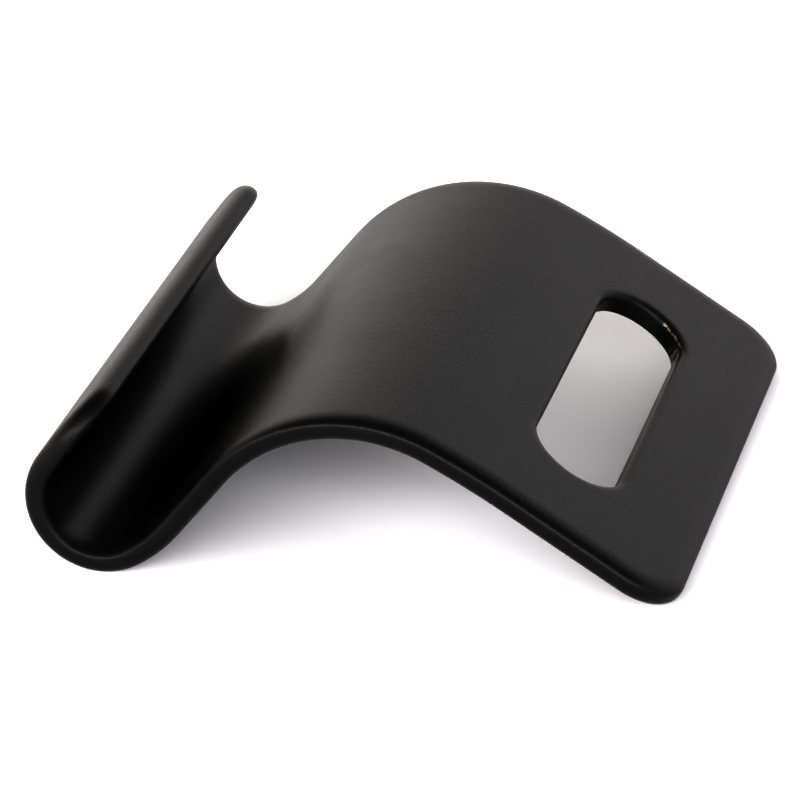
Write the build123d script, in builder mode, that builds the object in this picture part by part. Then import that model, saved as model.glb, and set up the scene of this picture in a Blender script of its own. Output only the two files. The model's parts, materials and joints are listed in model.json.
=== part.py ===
from build123d import *
import os
from math import asin, atan2, cos, degrees, hypot, radians, sin

# A wide strap hook in two pieces: a plate bent to a flat flange, a crest, a wall, a round trough
# and a lip that leans in over the trough, with every edge rounded, and a thin black coating that
# covers it all over. The flange has a cross slot, and the coating is chipped on the slot's rim.
#
# Frame: millimetres, +Z up. The hook lies as it does on a table, on the bottom of its trough
# and on the end of its flange. X runs from the trough to the flange's end, and Y runs across
# the width. The origin is on the table, under the middle of the hook.

# Driving dimensions, all of the finished hook, outside the coating. Bend radii are at the
# middle of the thickness, and turns are in degrees.
thickness = 3.2
coating = 0.1
width = 83.6
corner_radius = 7.4                 # the flange's and the lip's corners, seen flat
edge_radius = 0.48 * thickness      # all but a full round, on the plate's outer edges

flange_length = 24.8                # the flat stretch, from the flange's end to the bend
lead_in_radius = 128.0              # the bend starts slowly
lead_in_turn = 5.5
crest_radius = 23.0
crest_turn = 78.0
wall_length = 10.1
trough_lead_in_radius = 20.0        # the trough starts slowly too
trough_lead_in_turn = 19.0
trough_radius = 8.3
trough_turn = 158.5
lip_length = 3.8                    # the straight stretch of the lip
lip_curl_radius = 32.0              # above it the lip curls in over the trough
lip_curl_turn = 13.0

slot_width = 13.0
slot_length = 53.2
slot_to_end = 20.0                  # from the slot's middle line to the flange's end
slot_upper_rim = 1.2                # the slot is punched from the top, so its upper rim is round
slot_lower_rim = 0.4                # and its lower rim is nearly sharp

# Where the coating is chipped: a row along the rim of the slot's far end. Each chip has an angle
# round the end and a radius, and all are the same way up the rim's round from the slot's wall.
chips_up_round = 30.0
chips = [
    (24.5, 0.20), (27.5, 0.27), (31.5, 0.24), (36.0, 0.33), (41.0, 0.28), (45.5, 0.38),
    (50.5, 0.31), (55.0, 0.36), (59.5, 0.27), (63.0, 0.32), (67.0, 0.22),
]


def bent_face(lift, trim=0.0):
    """Draws one face of the bent plate, lift above its middle, from the flange's end to the lip's.

    The drawing's x is along the flange, towards its end, and its y is the flange's normal. The
    line starts and ends trim short of the finished ends."""
    flange = Line((slot_to_end - trim, lift), (slot_to_end - flange_length, lift))
    lead_in = JernArc(flange @ 1, flange % 1, lead_in_radius + lift, lead_in_turn)
    crest = JernArc(lead_in @ 1, lead_in % 1, crest_radius + lift, crest_turn)
    wall = Line(crest @ 1, crest @ 1 + (crest % 1) * wall_length)
    trough_lead_in = JernArc(wall @ 1, wall % 1, trough_lead_in_radius - lift, -trough_lead_in_turn)
    trough = JernArc(trough_lead_in @ 1, trough_lead_in % 1, trough_radius - lift, -trough_turn)
    lip = Line(trough @ 1, trough @ 1 + (trough % 1) * lip_length)
    curl_turn = lip_curl_turn - degrees(trim / lip_curl_radius)
    curl = JernArc(lip @ 1, lip % 1, lip_curl_radius - lift, -curl_turn)
    return flange @ 0, curl @ 1, trough.center_point


# How the hook lies: the table touches the round of the trough and the round of the flange's end.
with BuildLine() as middle:
    trough_centre = bent_face(0.0)[2]
end_round = Vector(slot_to_end - edge_radius, edge_radius - thickness / 2)
span = end_round - trough_centre
trough_outside = trough_radius + thickness / 2
lean = atan2(span.Y, span.X) + asin((trough_outside - edge_radius) / hypot(span.X, span.Y))

# The slot's centre, from the two rounds: the trough's lowest point is at z = 0, and x = 0 is
# halfway between the trough's outermost point and the flange's end.
trough_x = trough_centre.X * cos(lean) + trough_centre.Y * sin(lean)
trough_z = trough_centre.Y * cos(lean) - trough_centre.X * sin(lean)
end_x = end_round.X * cos(lean) - end_round.Y * sin(lean) + edge_radius
slot_x = -(trough_x - trough_outside + end_x) / 2
slot_z = trough_outside - trough_z

flange_plane = Plane(
    origin=(slot_x, 0, slot_z), x_dir=(cos(lean), 0, -sin(lean)), z_dir=(sin(lean), 0, cos(lean))
)
profile_plane = Plane(origin=flange_plane.origin, x_dir=flange_plane.x_dir, z_dir=(0, -1, 0))


def bent_plate(skin):
    """The whole bent plate, with its slot and rounded edges, skin inside the finished surface."""
    plate_thickness = thickness - 2 * skin
    plate_width = width - 2 * skin
    with BuildPart() as plate:
        with BuildSketch(profile_plane):
            with BuildLine():
                upper = bent_face(plate_thickness / 2, skin)
                lower = bent_face(-plate_thickness / 2, skin)
                Line(upper[0], lower[0])
                Line(upper[1], lower[1])
            make_face()
        extrude(amount=plate_width / 2, both=True)

        corners = plate.edges().filter_by(GeomType.LINE)
        corners = corners.filter_by(lambda edge: abs(edge.length - plate_thickness) < 0.001)
        fillet(corners, corner_radius - skin)

        # The rims are every edge but those through the thickness and the bend lines across.
        rims = plate.edges().filter_by(
            lambda edge: edge.geom_type != GeomType.LINE
            or plate_thickness + 0.001 < edge.length < plate_width - 0.001
        )
        fillet(rims, edge_radius - skin)

        with BuildSketch(flange_plane):
            SlotOverall(slot_length + 2 * skin, slot_width + 2 * skin, rotation=90)
        extrude(amount=thickness, both=True, mode=Mode.SUBTRACT)
        slot_edges = plate.edges(Select.LAST).group_by(Axis(flange_plane.origin, flange_plane.z_dir))
        fillet(slot_edges[-1], slot_upper_rim - skin)
        fillet(slot_edges[0], slot_lower_rim - skin)
    return plate.part


finished_shape = bent_plate(0.0)
plate_shape = bent_plate(coating)

with BuildPart() as hook_plate:
    add(plate_shape)

with BuildPart() as black_coating:
    add(finished_shape)
    add(plate_shape, mode=Mode.SUBTRACT)
    rim_radius = slot_width / 2 + slot_upper_rim * (1 - cos(radians(chips_up_round)))
    rim_height = thickness / 2 - slot_upper_rim * (1 - sin(radians(chips_up_round)))
    for angle, chip_radius in chips:
        chip = flange_plane.from_local_coords(
            Vector(
                rim_radius * cos(radians(angle)),
                (slot_length - slot_width) / 2 + rim_radius * sin(radians(angle)),
                rim_height,
            )
        )
        with Locations(chip):
            Sphere(chip_radius, mode=Mode.SUBTRACT)

hook_plate.part.label = "hook_plate"
black_coating.part.label = "black_coating"

os.makedirs("parts", exist_ok=True)
for piece in (hook_plate.part, black_coating.part):
    export_step(piece, f"parts/{piece.label}.step")
print("lean", round(degrees(lean), 3), "slot centre", round(slot_x, 3), round(slot_z, 3))
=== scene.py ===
import json
from math import atan2, ceil, cos, degrees, hypot, pi, radians, sin

import bmesh
import bpy
from mathutils import Matrix, Vector
from mathutils import noise as ragged_field
from mathutils.geometry import delaunay_2d_cdt


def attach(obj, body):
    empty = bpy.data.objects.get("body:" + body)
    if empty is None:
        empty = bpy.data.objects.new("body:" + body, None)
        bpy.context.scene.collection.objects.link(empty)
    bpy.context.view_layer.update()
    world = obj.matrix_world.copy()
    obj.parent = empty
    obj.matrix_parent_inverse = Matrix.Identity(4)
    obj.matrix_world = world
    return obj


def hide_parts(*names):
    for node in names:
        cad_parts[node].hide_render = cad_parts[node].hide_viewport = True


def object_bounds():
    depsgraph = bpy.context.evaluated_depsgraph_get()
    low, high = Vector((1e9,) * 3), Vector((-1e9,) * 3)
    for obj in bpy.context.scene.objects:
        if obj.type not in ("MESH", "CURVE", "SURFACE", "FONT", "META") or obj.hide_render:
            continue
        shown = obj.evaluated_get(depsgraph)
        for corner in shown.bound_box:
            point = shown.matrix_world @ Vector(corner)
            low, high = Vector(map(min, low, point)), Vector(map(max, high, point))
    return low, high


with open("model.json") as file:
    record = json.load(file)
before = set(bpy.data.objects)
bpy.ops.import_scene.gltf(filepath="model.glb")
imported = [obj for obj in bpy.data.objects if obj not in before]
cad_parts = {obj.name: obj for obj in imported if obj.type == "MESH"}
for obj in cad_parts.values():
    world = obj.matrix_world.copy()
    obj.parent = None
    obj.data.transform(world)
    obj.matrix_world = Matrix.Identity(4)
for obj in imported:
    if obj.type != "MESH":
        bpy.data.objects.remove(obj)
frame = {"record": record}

# A wide strap hook, one plate bent to a flange, a crest, a trough and a lip, in satin black
# powder coating, on a pale studio floor. The scene is in metres, in the CAD model's frame.

# The CAD model's box, for the floor's height.
cad_low, cad_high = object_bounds()


# ---------------------------------------------------------------------------------------
# Node helpers
# ---------------------------------------------------------------------------------------
def new_material(name):
    """A new material with only its output, its node tree and its shader."""
    material = bpy.data.materials.new(name)
    material.use_nodes = True
    tree = material.node_tree
    tree.nodes.clear()
    output = tree.nodes.new("ShaderNodeOutputMaterial")
    shader = tree.nodes.new("ShaderNodeBsdfPrincipled")
    tree.links.new(shader.outputs["BSDF"], output.inputs["Surface"])
    return material, tree, shader


def noise(tree, place, scale, detail, roughness=0.5):
    node = tree.nodes.new("ShaderNodeTexNoise")
    node.inputs["Scale"].default_value = scale
    node.inputs["Detail"].default_value = detail
    node.inputs["Roughness"].default_value = roughness
    tree.links.new(place, node.inputs["Vector"])
    return node.outputs["Fac"]


def spread(tree, value, low, high, to_low, to_high):
    """Maps value from low..high to to_low..to_high, and holds it there outside."""
    node = tree.nodes.new("ShaderNodeMapRange")
    node.inputs["From Min"].default_value = low
    node.inputs["From Max"].default_value = high
    node.inputs["To Min"].default_value = to_low
    node.inputs["To Max"].default_value = to_high
    tree.links.new(value, node.inputs["Value"])
    return node.outputs["Result"]


def maths(tree, operation, first, second):
    node = tree.nodes.new("ShaderNodeMath")
    node.operation = operation
    tree.links.new(first, node.inputs[0])
    tree.links.new(second, node.inputs[1])
    return node.outputs["Value"]


def bump(tree, height, distance, strength, under=None):
    node = tree.nodes.new("ShaderNodeBump")
    node.inputs["Distance"].default_value = distance
    node.inputs["Strength"].default_value = strength
    tree.links.new(height, node.inputs["Height"])
    if under is not None:
        tree.links.new(under, node.inputs["Normal"])
    return node.outputs["Normal"]


def colours(tree, value, low, high):
    node = tree.nodes.new("ShaderNodeMix")
    node.data_type = "RGBA"
    node.inputs["A"].default_value = (*low, 1.0)
    node.inputs["B"].default_value = (*high, 1.0)
    tree.links.new(value, node.inputs["Factor"])
    return node.outputs["Result"]


def object_place(tree):
    return tree.nodes.new("ShaderNodeTexCoord").outputs["Object"]


# ---------------------------------------------------------------------------------------
# Materials
# ---------------------------------------------------------------------------------------
# The sizes of the features, in metres. A noise's scale is one over its feature's size.
GRAIN_SIZE = 0.00026
GRAIN_HEIGHT = 0.000045
PEEL_SIZE = 0.0011
PEEL_HEIGHT = 0.00002
CLOUD_SIZE = 0.012
SPOT_SIZE = 0.0005
SPOT_HEIGHT = 0.00004

# The colours and the roughnesses that each noise runs between.
DARKEST_BLACK = (0.006, 0.006, 0.0062)
LIGHTEST_BLACK = (0.009, 0.0089, 0.0089)
CLOUD_ROUGHNESS = (0.33, 0.37)
GRAIN_ROUGHNESS = (-0.04, 0.04)
DARKEST_TAN = (0.035, 0.026, 0.014)
LIGHTEST_TAN = (0.36, 0.29, 0.22)
SPOT_ROUGHNESS = (0.6, 0.38)

MOST_OF_NOISE = (0.3, 0.7)          # nearly all of a noise's values are in here
MIDDLE_OF_NOISE = (0.35, 0.65)      # a narrower range, for a stronger contrast


def satin_black():
    """Powder coating: a slow cloud of shade and gloss, a faint orange peel and a fine grain."""
    material, tree, shader = new_material("satin_black")
    place = object_place(tree)

    grain = noise(tree, place, 1 / GRAIN_SIZE, detail=3.0, roughness=0.6)
    peel = noise(tree, place, 1 / PEEL_SIZE, detail=2.0)
    cloud = noise(tree, place, 1 / CLOUD_SIZE, detail=4.0, roughness=0.6)

    shade = spread(tree, cloud, *MOST_OF_NOISE, 0.0, 1.0)
    tree.links.new(colours(tree, shade, DARKEST_BLACK, LIGHTEST_BLACK), shader.inputs["Base Color"])
    slow = spread(tree, cloud, *MOST_OF_NOISE, *CLOUD_ROUGHNESS)
    fine = spread(tree, grain, *MOST_OF_NOISE, *GRAIN_ROUGHNESS)
    tree.links.new(maths(tree, "ADD", slow, fine), shader.inputs["Roughness"])
    waves = bump(tree, peel, PEEL_HEIGHT, strength=0.4)
    surface = bump(tree, grain, GRAIN_HEIGHT, strength=0.9, under=waves)
    tree.links.new(surface, shader.inputs["Normal"])
    shader.inputs["Specular IOR Level"].default_value = 0.16
    return material


def bare_metal():
    """The plate's own metal, mottled tan where the coating is chipped off it."""
    material, tree, shader = new_material("plate_metal")
    spots = noise(tree, object_place(tree), 1 / SPOT_SIZE, detail=4.0, roughness=0.7)
    shade = spread(tree, spots, *MIDDLE_OF_NOISE, 0.0, 1.0)
    tree.links.new(colours(tree, shade, DARKEST_TAN, LIGHTEST_TAN), shader.inputs["Base Color"])
    rough = spread(tree, spots, *MOST_OF_NOISE, *SPOT_ROUGHNESS)
    tree.links.new(rough, shader.inputs["Roughness"])
    tree.links.new(bump(tree, spots, SPOT_HEIGHT, strength=0.6), shader.inputs["Normal"])
    shader.inputs["Metallic"].default_value = 0.8
    return material


# ---------------------------------------------------------------------------------------
# The hook's shape, in millimetres, with the same driving dimensions as the CAD model. The
# plate is laid out flat, with s along it from the flange's end and y across it, given its
# rounded rims there, and then bent.
# ---------------------------------------------------------------------------------------
MILLIMETRE = 0.001
THICKNESS = 3.2
COATING = 0.1
WIDTH = 83.6
CORNER_RADIUS = 7.4
SLOT_WIDTH = 13.0
SLOT_LENGTH = 53.2
SLOT_TO_END = 20.0
SLOT_MIDDLE = (SLOT_LENGTH - SLOT_WIDTH) / 2    # the centre of each round end, from the middle

# How far each rim's round reaches in over the plate's face, how far down its side, and how much
# it eases off towards the face: 1 for a plain round, more for a tight one with a long soft fall.
# The upper face's side is 1 and the lower face's is -1.
OUTER_RIM = {1: (3.0, 1.5, 1.6), -1: (1.536, 1.536, 1.0)}
LIP_END_RIM = {1: (2.2, 1.1, 1.0), -1: (2.1, 2.0, 1.0)}
LIP_BLEND = 8.0             # the outer rim turns into the lip end's over this much of the plate
SLOT_RIM = {1: (1.4, 1.4, 1.7), -1: (0.4, 0.4, 1.0)}
# At the flange's end the upper rim's tight round would stand out past the CAD model's plain one,
# so the plate stops this much short there, to stay in the CAD model's box.
END_SHORT = 0.1

# The coating is chipped in a ragged row on the upper rim of the slot's far end, as it is in the
# CAD model, and scuffed lower down beside the row's end. Heights are above the middle of the
# thickness, and turns round the slot's end are in degrees, from the flange's end.
CHIP_DEPTH = 0.16
CHIPS_TURN = (23.0, 69.0)
CHIPS_HEIGHT = 1.06
CHIPS_HALF_WIDTH = 0.17
CHIPS_RAGGED = 1.3          # how much the row's width comes and goes
CHIPS_WANDER = 0.15         # how far the row strays up and down
WANDER_SCALE = 0.9          # the noises' scales, in features to the millimetre
CHIP_SCALE = 1.9
SCUFF_TURN = (9.0, 30.0)
SCUFF_HEIGHTS = (0.2, 0.9)
SCUFF_LEAST = 0.12          # the chips' noise has to be above this to be a scuff


def straight(length):
    return length, 0.0


def arc(radius, turn):
    return radius * radians(turn), radians(turn)


# The stretches of the bend, each with its length at the middle of the thickness and its turn.
BEND = [
    straight(24.8),         # flange
    arc(128.0, 5.5),        # the bend starts slowly
    arc(23.0, 78.0),        # crest
    straight(10.1),         # wall
    arc(20.0, 19.0),        # the trough starts slowly too
    arc(8.3, 158.5),        # trough
    straight(3.8),          # lip
    arc(32.0, 13.0),        # the lip curls in over the trough
]
CREST_STRETCHES = 3         # the stretches up to here turn one way, and those after it the other
TOTAL_LENGTH = sum(length for length, turn in BEND)

# The mesh's largest steps: along a straight stretch and across, then round each kind of bend.
LONGEST_STEP = 1.6
BEND_STEP = radians(3.0)
CORNER_STEP = radians(5.0)
SLOT_END_STEP = radians(1.0)
RIM_STEP = pi / 2 / 16
# Two triangles of a flat join into a quad if they are this flat together and it is this square.
JOIN_FACES = radians(10.0)
JOIN_CORNERS = radians(40.0)
TOUCHING = 1e-6             # the triangulation takes points this near as one
INSIDE_ONLY = 1             # the triangulation keeps only what is inside the plate's outline


def steps_between(low, high, longest):
    """Evenly spaced values from low to high."""
    count = max(1, ceil((high - low) / longest))
    return [low + (high - low) * step / count for step in range(count + 1)]


def bend_lines():
    """The distances along the plate of the mesh's lines across it, closer where it bends more."""
    lines = [0.0]
    for length, turn in BEND:
        count = max(ceil(length / LONGEST_STEP), ceil(turn / BEND_STEP))
        lines += [lines[-1] + length * step / count for step in range(1, count + 1)]
    return lines


def along_bend(distance):
    """The middle of the thickness at that distance from the flange's end, and the way it heads."""
    u, v, heading = SLOT_TO_END, 0.0, pi
    for stretch, (length, turn) in enumerate(BEND):
        part = min(length, distance)
        sign = 1 if stretch < CREST_STRETCHES else -1
        if turn == 0.0:
            u += part * cos(heading)
            v += part * sin(heading)
        else:
            curvature = sign * turn / length
            after = heading + curvature * part
            u += (sin(after) - sin(heading)) / curvature
            v -= (cos(after) - cos(heading)) / curvature
            heading = after
        distance -= part
        if distance <= 0:
            break
    return u, v, heading


# The slot's middle and the flange's normal, which place the bend, are the strap_slot mount's.
strap_slot = next(mount for mount in frame["record"]["mounts"] if mount["name"] == "strap_slot")
slot_middle = Vector(strap_slot["pos_m"])
flange_normal = Vector(strap_slot["axis"]).normalized()
flange_along = Vector((0, 1, 0)).cross(flange_normal)


def bent(distance, across, lift):
    """Where a point of the flat plate is on the hook. lift is from the middle of the thickness."""
    u, v, heading = along_bend(distance)
    u += lift * sin(heading)
    v -= lift * cos(heading)
    return slot_middle + (flange_along * u + flange_normal * v + Vector((0, across, 0))) * MILLIMETRE


def blended(s, last_s, step, end_step):
    """The outer rim's step at s, which turns smoothly into the lip end's just before last_s."""
    part = min(1.0, max(0.0, (s - last_s) / LIP_BLEND + 1.0))
    part *= part * (3 - 2 * part)
    return [outer + (lip_end - outer) * part for outer, lip_end in zip(step, end_step)]


def outline(step, end_step):
    """The plate's outline, laid flat, as a closed loop of points. step is how far it is inset and
    lifted, and end_step is the same for the lip's end."""
    half = WIDTH / 2
    radius = CORNER_RADIUS
    first_s, last_s = END_SHORT + radius, TOTAL_LENGTH - radius
    along = [s for s in bend_lines() if first_s < s < last_s]
    across = steps_between(radius - half, half - radius, LONGEST_STEP)[1:-1]
    turns = steps_between(0.0, pi / 2, CORNER_STEP)
    sides = [(s, *blended(s, last_s, step, end_step)) for s in along]

    loop = []
    for quarter in range(4):
        centre_s = last_s if quarter in (0, 3) else first_s
        centre_y = half - radius if quarter in (0, 1) else radius - half
        inset, lift = blended(centre_s, last_s, step, end_step)
        for turn in turns:
            reach_s = (radius - inset) * cos(quarter * pi / 2 + turn)
            reach_y = (radius - inset) * sin(quarter * pi / 2 + turn)
            loop.append((centre_s + reach_s, centre_y + reach_y, lift))
        if quarter == 0:
            loop += [(s, half - side_inset, side_lift) for s, side_inset, side_lift in reversed(sides)]
        if quarter == 1:
            loop += [(END_SHORT + inset, y, lift) for y in reversed(across)]
        if quarter == 2:
            loop += [(s, side_inset - half, side_lift) for s, side_inset, side_lift in sides]
        if quarter == 3:
            loop += [(TOTAL_LENGTH - inset, y, lift) for y in across]
    return loop


def slot_outline(step):
    """The slot's outline, laid flat, as a closed loop of points. step is how far it is moved into
    the plate and lifted."""
    inset, lift = step
    radius = SLOT_WIDTH / 2 + inset
    across = steps_between(-SLOT_MIDDLE, SLOT_MIDDLE, LONGEST_STEP)[1:-1]
    loop = []
    for side in (1, -1):
        for turn in steps_between(0.0, pi, SLOT_END_STEP):
            reach_s = side * radius * cos(turn)
            reach_y = side * (SLOT_MIDDLE + radius * sin(turn))
            loop.append((SLOT_TO_END + reach_s, reach_y, lift))
        loop += [(SLOT_TO_END - side * radius, -side * y, lift) for y in across]
    return loop


def inside(point, loop):
    """Whether the point is inside the loop: a line from it along s crosses the loop an odd number
    of times."""
    s, y = point
    odd = False
    for (s0, y0), (s1, y1) in zip(loop, loop[1:] + loop[:1]):
        if (y0 > y) != (y1 > y) and s < s0 + (y - y0) * (s1 - s0) / (y1 - y0):
            odd = not odd
    return odd


RIM_TURNS = steps_between(0.0, pi / 2, RIM_STEP)


def rim_steps(reach, skin, side):
    """The steps of a rim's round, each with an inset and a lift, from its side to the face."""
    inward, upward, ease = reach[0] - skin, reach[1] - skin, reach[2]
    half = THICKNESS / 2 - skin
    steps = []
    for turn in RIM_TURNS:
        inset = skin + inward * (1 - cos(turn)) ** ease
        lift = side * (half - upward * (1 - sin(turn)))
        steps.append((inset, lift))
    return steps


def chipped(s, y, lift, turned):
    """The same point of the slot's rim, or the bottom of a chip where it is in one. turned is how
    far the rim has turned there, from the slot's wall to the face."""
    round_end = degrees(atan2(y - SLOT_MIDDLE, SLOT_TO_END - s))
    wander = CHIPS_WANDER * ragged_field.noise(Vector((s, y, 0.0)) * WANDER_SCALE)
    uneven = ragged_field.noise(Vector((s, y, lift)) * CHIP_SCALE)
    half_width = CHIPS_HALF_WIDTH * (1.0 + CHIPS_RAGGED * uneven)
    in_row = CHIPS_TURN[0] < round_end < CHIPS_TURN[1]
    in_row = in_row and abs(lift - CHIPS_HEIGHT - wander) < half_width
    in_scuff = SCUFF_TURN[0] < round_end < SCUFF_TURN[1] and uneven > SCUFF_LEAST
    in_scuff = in_scuff and SCUFF_HEIGHTS[0] < lift < SCUFF_HEIGHTS[1]
    if not (in_row or in_scuff):
        return s, y, lift
    reach = hypot(s - SLOT_TO_END, y - SLOT_MIDDLE)
    outward = CHIP_DEPTH * cos(turned) / reach
    deeper_s = s + (s - SLOT_TO_END) * outward
    deeper_y = y + (y - SLOT_MIDDLE) * outward
    return deeper_s, deeper_y, lift - CHIP_DEPTH * sin(turned)


def add_band(form, first, second):
    """Joins two rings of the same number of points with a band of quads."""
    for a, b, c, d in zip(first, first[1:] + first[:1], second[1:] + second[:1], second):
        form.faces.new((a, b, c, d))


def add_rim(form, shape, reaches, skin, with_chips):
    """Both rims of an outline and the side between them. Returns each face's ring, by its side."""
    side_rings = {}
    face_rings = {}
    for side in (1, -1):
        rings = []
        steps = [rim_steps(reach[side], skin, side) for reach in reaches]
        for turned, *steps_there in zip(RIM_TURNS, *steps):
            points = shape(*steps_there)
            if with_chips:
                points = [chipped(*point, turned) for point in points]
            rings.append([form.verts.new(bent(*point)) for point in points])
        for first, second in zip(rings, rings[1:]):
            add_band(form, first, second)
        side_rings[side] = rings[0]
        face_rings[side] = rings[-1]
    add_band(form, side_rings[1], side_rings[-1])
    return face_rings


def flat_outlines(side, clear):
    """The outlines of a face's flat, the plate's and the slot's, that far clear of the rims."""
    outer_step = OUTER_RIM[side][0] + clear, 0.0
    end_step = LIP_END_RIM[side][0] + clear, 0.0
    slot_step = SLOT_RIM[side][0] + clear, 0.0
    outer = [(s, y) for s, y, lift in outline(outer_step, end_step)]
    hole = [(s, y) for s, y, lift in slot_outline(slot_step)]
    return outer, hole


def add_flat(form, side, skin, rings):
    """The flat of a face, from the outer rim's last ring to the slot rim's: a grid in the middle,
    and triangles where it meets the rings."""
    outer, hole = flat_outlines(side, 0.0)
    clear_outer, clear_hole = flat_outlines(side, LONGEST_STEP / 2)
    lines_across = steps_between(-WIDTH / 2, WIDTH / 2, LONGEST_STEP)
    crossings = [(s, y) for s in bend_lines() for y in lines_across]
    grid = [point for point in crossings if inside(point, clear_outer)]
    grid = [point for point in grid if not inside(point, clear_hole)]
    points = [Vector(point) for point in outer + hole + grid]
    loops = []
    for start, size in ((0, len(outer)), (len(outer), len(hole))):
        loops += [(start + step, start + (step + 1) % size) for step in range(size)]
    triangulation = delaunay_2d_cdt(points, loops, [], INSIDE_ONLY, TOUCHING)
    flat, _, triangles, origins, _, _ = triangulation

    lift = side * (THICKNESS / 2 - skin)
    known = rings + [form.verts.new(bent(s, y, lift)) for s, y in grid]
    corners = [known[origin[0]] for origin in origins]
    faces = []
    for triangle in triangles:
        middle = sum((flat[corner] for corner in triangle), Vector((0, 0))) / 3
        if not inside(middle, hole):
            faces.append(form.faces.new([corners[corner] for corner in triangle]))
    bmesh.ops.join_triangles(
        form, faces=faces, angle_face_threshold=JOIN_FACES, angle_shape_threshold=JOIN_CORNERS
    )


def hook_mesh(name, skin):
    """The bent plate as one closed mesh, skin inside the finished surface."""
    form = bmesh.new()
    outer_rings = add_rim(form, outline, (OUTER_RIM, LIP_END_RIM), skin, False)
    slot_rings = add_rim(form, slot_outline, (SLOT_RIM,), skin, skin == 0.0)
    for side in (1, -1):
        add_flat(form, side, skin, outer_rings[side] + slot_rings[side])

    bmesh.ops.recalc_face_normals(form, faces=form.faces)
    mesh = bpy.data.meshes.new(name)
    form.to_mesh(mesh)
    form.free()
    mesh.shade_smooth()
    return mesh


def make_piece(name, node, skin, material):
    piece = bpy.data.objects.new(name, hook_mesh(name, skin))
    piece.data.materials.append(material)
    bpy.context.scene.collection.objects.link(piece)
    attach(piece, "root")
    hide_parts(node)


make_piece("coating", "black_coating", 0.0, satin_black())
make_piece("plate", "hook_plate", COATING, bare_metal())


# ---------------------------------------------------------------------------------------
# Stage: a plain pale floor under the hook
# ---------------------------------------------------------------------------------------
FLOOR_SIZE = 6.0
FLOOR_COLOUR = (0.9, 0.9, 0.9, 1.0)
FLOOR_ROUGHNESS = 0.9


def make_floor():
    half = FLOOR_SIZE / 2
    mesh = bpy.data.meshes.new("floor")
    corners = [(-half, -half, 0), (half, -half, 0), (half, half, 0), (-half, half, 0)]
    mesh.from_pydata(corners, [], [(0, 1, 2, 3)])
    floor = bpy.data.objects.new("floor", mesh)
    floor.location.z = cad_low[2]
    bpy.context.scene.collection.objects.link(floor)
    material, _, shader = new_material("floor")
    shader.inputs["Base Color"].default_value = FLOOR_COLOUR
    shader.inputs["Roughness"].default_value = FLOOR_ROUGHNESS
    mesh.materials.append(material)


make_floor()


# ---------------------------------------------------------------------------------------
# Light: a white studio that is bright all round up to SKY_TOP, fades up to SKY_DARK and is dark
# overhead, and one wide soft box in front. Azimuth 0 is at -Y, and 90 at +X. A radiance of 1 is
# a full white.
# ---------------------------------------------------------------------------------------
SKY_RADIANCE = 2.72
SKY_OVERHEAD = 0.25
SKY_TOP = 31.0
SKY_DARK = 42.0
SKY_TO_LEFT = 0.12          # how much brighter the sky is at the left than ahead
SKY_COLOUR = (1.0, 0.972, 0.985)
SKY_LEFT_COLOUR = (1.0, 0.96, 0.91)
SKY_COLOUR_TURNS = (0.1, -0.4)      # from one colour to the other, as the X of a direction
BOX_AZIMUTH = 0.0
BOX_ELEVATION = 25.0
BOX_DISTANCE = 1.5
BOX_SIZE = (3.0, 0.53)
BOX_RADIANCE = 12.4
BOX_COLOUR = (0.975, 0.97, 1.0)
# The camera's contrast, as a power applied to the picture's brightness, and the brightness that
# it shows as black.
CONTRAST = 1.7
BLACK_LEVEL = 0.007


def toward(azimuth, elevation):
    """The direction from the middle of the scene to that azimuth and elevation, in degrees."""
    azimuth, elevation = radians(azimuth), radians(elevation)
    return Vector((sin(azimuth) * cos(elevation), -cos(azimuth) * cos(elevation), sin(elevation)))


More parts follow.
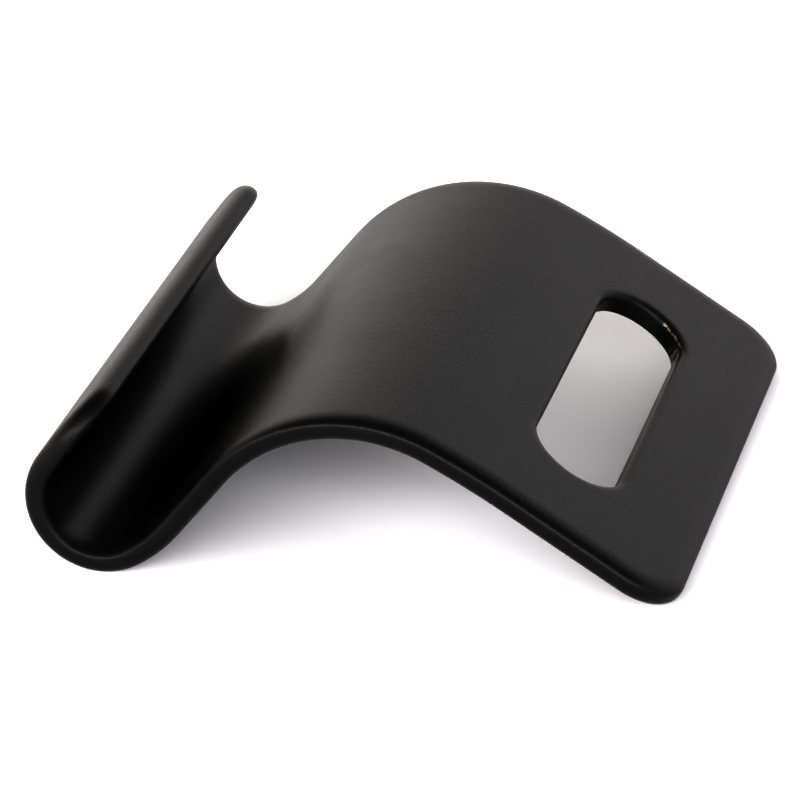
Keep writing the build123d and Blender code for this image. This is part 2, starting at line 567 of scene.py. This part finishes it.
def make_sky():
    world = bpy.data.worlds.new("studio")
    world.use_nodes = True
    tree = world.node_tree
    direction = tree.nodes.new("ShaderNodeTexCoord").outputs["Generated"]
    split = tree.nodes.new("ShaderNodeSeparateXYZ")
    tree.links.new(direction, split.inputs["Vector"])
    sky_edge = sin(radians(SKY_TOP)), sin(radians(SKY_DARK))
    brightness = spread(tree, split.outputs["Z"], *sky_edge, SKY_RADIANCE, SKY_OVERHEAD)
    sideways = spread(tree, split.outputs["X"], -1.0, 1.0, 1.0 + SKY_TO_LEFT, 1.0 - SKY_TO_LEFT)
    background = tree.nodes["Background"]
    tree.links.new(maths(tree, "MULTIPLY", brightness, sideways), background.inputs["Strength"])
    leftness = spread(tree, split.outputs["X"], *SKY_COLOUR_TURNS, 0.0, 1.0)
    tree.links.new(colours(tree, leftness, SKY_COLOUR, SKY_LEFT_COLOUR), background.inputs["Color"])
    bpy.context.scene.world = world


def make_soft_box():
    data = bpy.data.lights.new("front_box", "AREA")
    data.shape = "RECTANGLE"
    data.size, data.size_y = BOX_SIZE
    data.energy = BOX_RADIANCE * pi * BOX_SIZE[0] * BOX_SIZE[1]
    data.color = BOX_COLOUR
    light = bpy.data.objects.new("front_box", data)
    away = toward(BOX_AZIMUTH, BOX_ELEVATION)
    light.location = away * BOX_DISTANCE
    light.rotation_euler = away.to_track_quat("Z", "Y").to_euler()
    light.visible_camera = False
    bpy.context.scene.collection.objects.link(light)


def set_contrast():
    picture = bpy.context.scene.view_settings
    picture.view_transform = "Standard"
    picture.gamma = 1 / CONTRAST
    picture.use_curve_mapping = True
    picture.curve_mapping.black_level = (BLACK_LEVEL, BLACK_LEVEL, BLACK_LEVEL)
    picture.curve_mapping.update()


make_sky()
make_soft_box()
set_contrast()


# ---------------------------------------------------------------------------------------
# Camera: in front of the hook and a little to its right, looking down at it across its width
# ---------------------------------------------------------------------------------------
CAMERA_AZIMUTH = 14.396
CAMERA_ELEVATION = 24.283
CAMERA_ROLL = -1.759
CAMERA_DISTANCE = 0.66986
CAMERA_AIM = Vector((-0.002684, 0.0, 0.008745))
CAMERA_LENS = 223.02
CAMERA_SENSOR = 36.0


def make_camera():
    data = bpy.data.cameras.new("camera")
    data.lens = CAMERA_LENS
    data.sensor_width = CAMERA_SENSOR
    camera = bpy.data.objects.new("camera", data)
    bpy.context.scene.collection.objects.link(camera)
    away = toward(CAMERA_AZIMUTH, CAMERA_ELEVATION)
    level = away.to_track_quat("Z", "Y").to_matrix().to_4x4()
    roll = Matrix.Rotation(radians(CAMERA_ROLL), 4, "Z")
    camera.matrix_world = Matrix.Translation(CAMERA_AIM + away * CAMERA_DISTANCE) @ level @ roll
    bpy.context.scene.camera = camera


make_camera()
